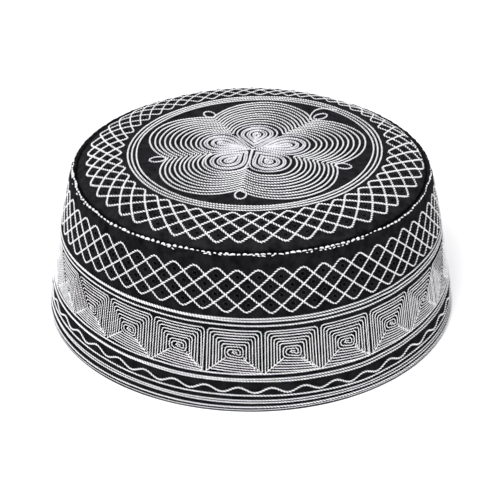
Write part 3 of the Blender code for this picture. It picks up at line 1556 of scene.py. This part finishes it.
@dataclass
class WallEmbroidery:
    """The lattice, the ring lines, the nested squares and the wave on the wall."""

    form: CapForm
    lattice_low: float = 0.0424
    lattice_high: float = 0.0621
    lattice_points: int = 60
    lattice_start: float = math.radians(-0.85)
    windings: int = 5
    tip_softness: Pair = (0.07, 0.075)
    curl_size: float = 0.0014
    square_count: int = 24
    square_shift: float = math.radians(-4.4)
    square_middle: float = 0.0261
    square_loops: int = 8
    square_step: float = 0.0006
    square_seed: int = 300
    eye_half: tuple[float, float, float] = (0.0025, 0.0013, 0.0011)
    square_half: tuple[float, float, float] = (0.01105, 0.00935, 0.0087)
    eye_fill: float = 0.0007
    mitre_swing: float = 0.00030
    mitre_reach: Pair = (0.24, 0.96)
    mitre_turns: int = 13
    mitre_from_eye: float = 0.6
    mitre_uneven: Pair = (0.3, 1.6)
    mitre_seed: int = 700
    corner_round: float = 0.0018
    sharp_round: float = 0.00035
    wave_count: int = 43
    wave_crest: float = math.radians(-3.2)
    wave_height: float = 0.00995
    wave_swing: float = 0.0011
    wave_drop: float = 0.0010
    wave_points: int = 14
    ring_points: int = 480
    rim_ring: WallRing = WallRing(0.00110, 0.0001, 115)
    tilt: float = 0.0008
    lowest: float = 0.0008
    low_lift: Table = (
        (-110, 0.0), (-72, 0.0010), (-45, 0.0011), (-30, 0.0006), (-15, 0.00015), (0, 0.0), (15, -0.00025),
        (29, -0.0007), (40, 0.0002), (50, 0.0007), (60, 0.0009), (72, 0.0012), (110, 0.0),
    )
    high_lift: Table = (
        (-110, 0.0), (-72, 0.0006), (-45, 0.0011), (-30, 0.0008), (-15, 0.0004), (0, 0.0), (15, 0.0001),
        (30, 0.0003), (40, 0.0008), (50, 0.0013), (60, 0.0017), (72, 0.0019), (110, 0.0),
    )
    low_to_high: Table = ((0.0175, 0.0), (0.0355, 1.0))
    lift_share: Table = (
        (0.0010, 0.0), (0.0100, 1.0), (0.0175, 1.0), (0.0260, 0.6), (0.0355, 1.0), (0.0420, 1.0),
        (0.0500, 0.65),
    )
    top_sag: Table = (
        (-75, 0.0), (-45, 0.0004), (-30, 0.0011), (-14, 0.0011), (4, 0.0009), (14, 0.0004), (40, 0.0003),
        (56, -0.0005), (75, -0.0004), (100, 0.0),
    )
    upper_rings: tuple[WallRing, ...] = (
        WallRing(0.0405, -0.0003, 101), WallRing(0.0395, 0.0007, 102), WallRing(0.0377, 0.0003, 103),
        WallRing(0.0171, 0.0003, 106), WallRing(0.0148, 0.0001, 104), WallRing(0.0139, 0.0008, 105),
    )
    bold_rings: tuple[WallRing, ...] = (WallRing(0.0075, 0.0011, 111), WallRing(0.0023, 0.0005, 114))
    lower_rings: tuple[WallRing, ...] = (
        WallRing(0.0053, 0.0006, 112), WallRing(0.0043, 0.0012, 113),
    )

    def _height(self, height: float, drop: float, angle: float) -> float:
        """A height with its drop towards +X and the cloth's sway, kept above the rim.

        Args:
            height: the line's own height.
            drop: how far it drops towards +X.
            angle: angle from the front, in radians.

        Returns:
            The height on the cap.
        """
        degrees = from_front(angle)
        low, high = between(self.low_lift, degrees), between(self.high_lift, degrees)
        sway = mix(low, high, between(self.low_to_high, height))
        return max(height - drop * math.sin(angle) + sway * between(self.lift_share, height), self.lowest)

    def rings(self, rings: Iterable[WallRing]) -> list[Route]:
        """Lines round the wall.

        Args:
            rings: their sizes.

        Returns:
            The closed runs.
        """
        runs = []
        for ring in rings:
            waver, run = Wander(seed=ring.seed, size=0.00016), Route(closed=True)
            for angle in turns(self.ring_points):
                height = self._height(ring.height, ring.drop, angle) + waver.at(angle)
                run.add(self.form.on_wall(angle, max(height, self.lowest)))
            runs.append(run)
        return runs

    def _lattice_height(self, angle: float, share: float) -> float:
        """Height in the lattice: 0 at its lower edge and 1 at its upper edge, which sags at the front."""
        high = self.lattice_high - between(self.top_sag, from_front(angle))
        return self._height(mix(self.lattice_low, high, share), self.tilt, angle)

    def lattice(self) -> list[Route]:
        """The threads that zigzag round the wall and cross, so that they make four rows of cells.

        Returns:
            The closed runs.
        """
        drift = Wander(seed=131, size=0.0002)

        def place(angle: float, share: float) -> Place:
            """The place for an angle and a share of the way up."""
            return self.form.on_wall(angle, self._lattice_height(angle, share) + drift.at(angle))

        return zigzags(self.windings, self.lattice_points, self.tip_softness, seed=72, place=place,
                       start=self.lattice_start)

    def curls(self) -> list[Route]:
        """The dark curl in each cell.

        Returns:
            The open runs.
        """
        def place(angle: float, share: float, up: float, across: float) -> Place:
            """The place so far up and across from a cell's middle."""
            height = self._lattice_height(angle, share)
            return self.form.on_wall(angle + across / self.form.wall_radius(height), height + up)

        return curls_in(cell_places(self.lattice_points, self.windings, self.lattice_start),
                        self.curl_size, place)

    def _in_square(self, index: int, across: float, up: float) -> Place:
        """The place so far across and up from the middle of a square, counted from the front.

        Args:
            index: which square.
            across: metres further round.
            up: metres further up.

        Returns:
            The point, and the cloth's direction there.
        """
        middle = self.square_shift + FULL_TURN * index / self.square_count
        angle = middle + across / self.form.wall_radius(self.square_middle)
        return self.form.on_wall(angle, self._height(self.square_middle + up, self.tilt, angle))

    def _square_corners(self, draw: random.Random) -> list[tuple[float, float, float]]:
        """The corners of one nested square, from its eye outwards.

        Args:
            draw: for its unevenness.

        Returns:
            (across, up, rounding) of each corner, anticlockwise.
        """
        fill, tight, jitter, uneven = self.eye_fill, 0.0003, 0.0001, 0.00035
        corners = [(fill, 0.0003, 0.0), (-fill, 0.0003, tight), (-fill, -0.0002, tight),
                   (fill, -0.0004, tight)]
        for loop in range(self.square_loops):
            share = loop / (self.square_loops - 1)
            wide, above, below = (mix(a, b, share) for a, b in zip(self.eye_half, self.square_half))
            right, top, left = (draw.uniform(-jitter, jitter) for _ in range(3))
            upper, lower, start = self.corner_round, self.corner_round, 0.0
            if loop > 1:
                upper, lower = self.corner_round * mix(0.55, 1.0, share), self.sharp_round
                start = draw.uniform(-uneven, uneven)
            corners += [
                (wide + right + start, -below, lower), (wide + right, above + top, upper),
                (-wide + left, above + top, upper), (-wide + left, -below, lower),
            ]
        return corners

    def square(self, index: int) -> Route:
        """One nested square: a spiral of straight runs that opens along its bottom runs."""
        corners = self._square_corners(random.Random(self.square_seed + index))
        return open_run(self._in_square(index, *point) for point in rounded_run(corners, self.square_step))

    def mitres(self, index: int) -> list[Route]:
        """The two diagonal runs below a square's eye, where the thread turns: one crisp, one uneven.

        Args:
            index: which square, counted from the front.

        Returns:
            The run to the lower left and the run to the lower right.
        """
        draw = random.Random(self.mitre_seed + index)
        inner_wide, inner_below = (self.eye_half[i] * self.mitre_from_eye for i in (0, 2))
        runs = []
        for side, swing in ((-1.0, 0.0), (1.0, self.mitre_swing)):
            route = Route()
            for i, share in enumerate(steps(*self.mitre_reach, self.mitre_turns)):
                wide = mix(inner_wide, self.square_half[0], share)
                below = mix(inner_below, self.square_half[2], share)
                slip = swing * (-1) ** i * draw.uniform(*self.mitre_uneven)
                route.add(self._in_square(index, side * wide + slip, slip - below))
            runs.append(route)
        return runs

    def squares(self, first: int, last: int) -> list[Route]:
        """The nested squares from one index up to another."""
        return [self.square(i) for i in range(first, last)]

    def all_mitres(self) -> list[Route]:
        """The diagonal runs of every square."""
        return [run for index in range(self.square_count) for run in self.mitres(index)]

    def wave(self) -> list[Route]:
        """The single wavy line.

        Returns:
            One closed run.
        """
        waver = Wander(seed=141, size=0.00015)
        run = Route(closed=True)
        for angle in turns(self.wave_count * self.wave_points):
            swing = self.wave_swing * math.cos(self.wave_count * (angle - self.wave_crest))
            height = self._height(self.wave_height, self.wave_drop, angle) + swing + waver.at(angle)
            run.add(self.form.on_wall(angle, height))
        return [run]


@dataclass
class SeamStitching:
    """The uneven white topstitching on the wall's rolled top edge, close to the crease."""

    form: CapForm
    per_turn: int = 720
    fewest: int = 8
    lean: float = math.radians(94)
    lean_right: float = math.radians(-14)
    second_lean: float = math.radians(-38)
    tight_from: float = math.radians(-84)
    tight_to: float = math.radians(-19)
    back_lean: float = math.radians(-78)
    back_share: Table = ((62.0, 0.0), (116.0, 1.0))
    row_seed: int = 151
    second_rows: Table = ((-84, -62), (-27, -20), (-13, 9), (16, 34), (96, 140), (205, 262))

    def _on_roll(self, angle: float, lean: float) -> Place:
        """A place on the rolled edge.

        Args:
            angle: angle from the front, in radians.
            lean: where on the roll: 0 is its outer side, a quarter turn its top.

        Returns:
            The point, and the cloth's direction there.
        """
        away = outwards(angle)
        half = self.form.cloth / 2
        middle = away * (self.form.wall_radius(self.form.band_top) - half)
        middle.z = self.form.band_top
        normal = away * math.cos(lean) + UP * math.sin(lean)
        return self.form.lifted(middle + normal * half), normal

    def row(self, offset: float, seed: int, start: float, end: float) -> Route:
        """One row of stitches.

        Args:
            offset: how far round the roll from the first row it runs, in radians.
            seed: for its waver.
            start: first angle from the front, in radians.
            end: last angle.

        Returns:
            The open run.
        """
        waver = Wander(seed=seed, size=0.30, waves=(7, 12, 19, 31, 53))
        run = Route()
        count = max(self.fewest, int(abs(end - start) / FULL_TURN * self.per_turn))
        for angle in steps(start, end, count):
            over = between(self.back_share, abs(from_front(angle)))
            lean = self.lean + offset * (1 - over) + self.lean_right * math.sin(angle) + waver.at(angle)
            run.add(self._on_roll(angle, lean + self.back_lean * over))
        return run

    def tight_row(self) -> list[Route]:
        """The part of the first row whose stitches lie flat and look bold, on the left of the front."""
        return [self.row(0.0, self.row_seed, self.tight_from, self.tight_to)]

    def loose_row(self) -> list[Route]:
        """The rest of the first row, with thinner stitches."""
        return [self.row(0.0, self.row_seed, self.tight_to, self.tight_from + FULL_TURN)]

    def doubled_rows(self) -> list[Route]:
        """The short second row, where the seam was sewn twice."""
        return [self.row(self.second_lean, seed, math.radians(start), math.radians(end))
                for seed, (start, end) in enumerate(self.second_rows, self.row_seed + 1)]


# Studio


@dataclass(frozen=True)
class Lamp:
    """One square soft light: its name, where it stands, its size and its power in watts."""

    name: str
    place: tuple[float, float, float]
    size: float
    power: float


@dataclass
class Studio:
    """The pale floor, the soft light and the camera at the photograph's angle."""

    elevation: float = math.radians(30.80)
    distance: float = 0.5616
    target_height: float = 0.0207
    focal_px: float = 1193.2
    sensor: float = 36.0
    centre_px: Pair = (251.1, 250.5)
    nearest: float = 0.01
    floor_reach: float = 6.0
    floor_color: Color = (0.93, 0.93, 0.94)
    floor_roughness: float = 0.95
    floor_gloss: float = 0.1
    world_color: Color = (1.0, 1.0, 1.0)
    world_strength: float = 0.92
    lamps: tuple[Lamp, ...] = (
        Lamp("key_light", (-0.7, -1.0, 1.5), 1.0, 30.0), Lamp("fill_light", (0.9, -0.6, 1.3), 1.2, 5.0),
    )

    def make_camera(self) -> None:
        """Makes the camera."""
        data = bpy.data.cameras.new("studio_camera")
        data.sensor_width = self.sensor
        data.lens = self.focal_px * self.sensor / IMAGE_WIDTH
        data.shift_x = -(self.centre_px[0] - IMAGE_WIDTH / 2) / IMAGE_WIDTH
        data.shift_y = (self.centre_px[1] - IMAGE_WIDTH / 2) / IMAGE_WIDTH
        data.clip_start = self.nearest
        camera = placed("studio_camera", data)
        ahead = Vector((0.0, math.cos(self.elevation), -math.sin(self.elevation)))
        camera.location = UP * self.target_height - ahead * self.distance
        camera.rotation_euler = ahead.to_track_quat("-Z", "Y").to_euler()
        bpy.context.scene.camera = camera

    def make_floor(self) -> None:
        """Makes the plain pale floor."""
        mesh = bpy.data.meshes.new("studio_floor")
        corners = ((-1, -1), (1, -1), (1, 1), (-1, 1))
        mesh.from_pydata([(x * self.floor_reach, y * self.floor_reach, 0) for x, y in corners],
                         [], [(0, 1, 2, 3)])
        material = bpy.data.materials.new("studio_floor_white")
        material.use_nodes = True
        shader = material.node_tree.nodes["Principled BSDF"]
        shader.inputs["Base Color"].default_value = (*self.floor_color, 1.0)
        shader.inputs["Roughness"].default_value = self.floor_roughness
        shader.inputs["Specular IOR Level"].default_value = self.floor_gloss
        mesh.materials.append(material)
        placed("studio_floor", mesh)

    def make_lamp(self, lamp: Lamp) -> None:
        """Makes one lamp that faces the cap.

        Args:
            lamp: its sizes and its place.
        """
        data = bpy.data.lights.new(lamp.name, "AREA")
        data.size = lamp.size
        data.energy = lamp.power
        made = placed(lamp.name, data)
        made.location = lamp.place
        towards = UP * self.target_height - Vector(lamp.place)
        made.rotation_euler = towards.to_track_quat("-Z", "Y").to_euler()

    def make_world(self) -> None:
        """Makes the white surroundings."""
        world = bpy.data.worlds.new("studio_world")
        world.use_nodes = True
        background = world.node_tree.nodes["Background"]
        background.inputs["Color"].default_value = (*self.world_color, 1.0)
        background.inputs["Strength"].default_value = self.world_strength
        bpy.context.scene.world = world

    def build(self) -> None:
        """Makes everything that isn't the cap."""
        self.make_floor()
        self.make_world()
        for lamp in self.lamps:
            self.make_lamp(lamp)
        self.make_camera()
        bpy.context.scene.view_settings.view_transform = "Standard"


# Assembly


def sewn_pieces(form: CapForm, finishes: Finishes) -> list[tuple[bpy.types.Object, Slot]]:
    """Sews all the embroidery.

    Args:
        form: the cap's faces.
        finishes: the cap's materials.

    Returns:
        Each piece with its slot.
    """
    needle = Needle()
    top, wall, seam = CrownEmbroidery(form), WallEmbroidery(form), SeamStitching(form)
    top_lattice = needle.cord(0.00125, 0.00118, unevenness=0.08, swing=0.08)
    lattice = needle.cord(0.00130, 0.00094, unevenness=0.08, swing=0.08)
    ring = needle.cord(0.00130, 0.00093, unevenness=0.08, swing=0.08)
    rim_ring = needle.cord(0.00130, 0.00079, unevenness=0.08, swing=0.08)
    bold = needle.cord(0.00140, 0.00093, unevenness=0.08, swing=0.10)
    lobe = needle.cord(0.00130, 0.00104, unevenness=0.08, swing=0.06)
    top_ring = needle.cord(0.00130, 0.00102, unevenness=0.08, swing=0.06)
    heart = needle.cord(0.00120, 0.00104, unevenness=0.10, swing=0.10)
    fine = needle.cord(0.00120, 0.00062, unevenness=0.12, swing=0.12)
    mitre = needle.cord(0.00090, 0.00058, unevenness=0.20, swing=0.30)
    wave = needle.cord(0.00130, 0.00104)
    rim = needle.cord(0.00120, 0.00050)
    curl = needle.cord(0.00110, 0.00052)
    # The dots are painted shade: dark spots for the needle holes in the cells.
    hole_shade_dot = needle.cord(0.00080, 0.00105)
    tight_dash = needle.lock(0.0025, 0.00092, unevenness=0.34, swing=0.34)
    dash = needle.lock(0.0024, 0.00066, unevenness=0.36, swing=0.32)
    second_dash = needle.lock(0.0019, 0.00043, unevenness=0.34, swing=0.40, skip=0.38)
    white, cool, bright = finishes.white, finishes.cool_white, finishes.fine_white
    black, hole_shade = finishes.black, finishes.painted_hole_shade
    half = wall.square_count // 2
    jobs: list[tuple[str, list[Route], StitchKind, bpy.types.Material]] = [
        ("rosette_lobes", top.lobes(), lobe, white),
        ("rosette_hearts", top.hearts(), heart, cool),
        ("rosette_eyelets", top.eyelets() + [top.stray_thread()], top_ring, cool),
        ("crown_rings", top.rings(), top_ring, white),
        ("crown_lattice", top.lattice(), top_lattice, white),
        ("crown_cell_curls", top.curls(), curl, black),
        # Painted shade of the needle holes in the top's cells.
        ("crown_cell_dots", hole_shade_dots(top.curls()), hole_shade_dot, hole_shade),
        ("seam_topstitch_left", seam.tight_row(), tight_dash, white),
        ("seam_topstitch", seam.loose_row(), dash, white),
        ("seam_topstitch_second", seam.doubled_rows(), second_dash, white),
        ("wall_lattice", wall.lattice(), lattice, white),
        ("wall_cell_curls", wall.curls(), curl, black),
        # Painted shade of the needle holes in the wall's cells.
        ("wall_cell_dots", hole_shade_dots(wall.curls()), hole_shade_dot, hole_shade),
        ("wall_ring_lines", wall.rings(wall.upper_rings), ring, white),
        ("nested_squares_right", wall.squares(0, half), fine, bright),
        ("nested_squares_left", wall.squares(half, wall.square_count), fine, bright),
        ("square_mitres", wall.all_mitres(), mitre, bright),
        ("wave_line", wall.wave(), wave, white),
        ("rim_ring_lines", wall.rings(wall.lower_rings), rim_ring, white),
        ("rim_bold_lines", wall.rings(wall.bold_rings), bold, white),
        ("rim_edge_line", wall.rings([wall.rim_ring]), rim, white),
    ]
    first_seed, seed_step = 500, 10
    made = []
    for index, (name, routes, kind, thread) in enumerate(jobs):
        slot = Slot.BLACK if thread in (black, hole_shade) else Slot.WHITE
        made.append((needle.sew(name, routes, kind, thread, first_seed + seed_step * index), slot))
    needle.put_away()
    return made


def settle(piece: bpy.types.Object) -> None:
    """Hangs a piece on the cap's one body and reports it.

    Args:
        piece: the piece.
    """
    piece.matrix_world = Matrix.Identity(4)
    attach(piece, "root")
    piece.data.calc_loop_triangles()
    LOG.info("%s: %d triangles", piece.name, len(piece.data.loop_triangles))


def main() -> None:
    """Builds the cap and its studio."""
    logging.basicConfig(level=logging.INFO, format="%(name)s %(message)s")
    low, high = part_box("side_band")
    form = CapForm(rim_radius=(high.x - low.x) / 2)
    finishes = Finishes.build()
    for piece, slot in ClothShell(form).build(finishes) + sewn_pieces(form, finishes):
        settle(piece)
    Studio().build()


if __name__ == "__main__":
    main()
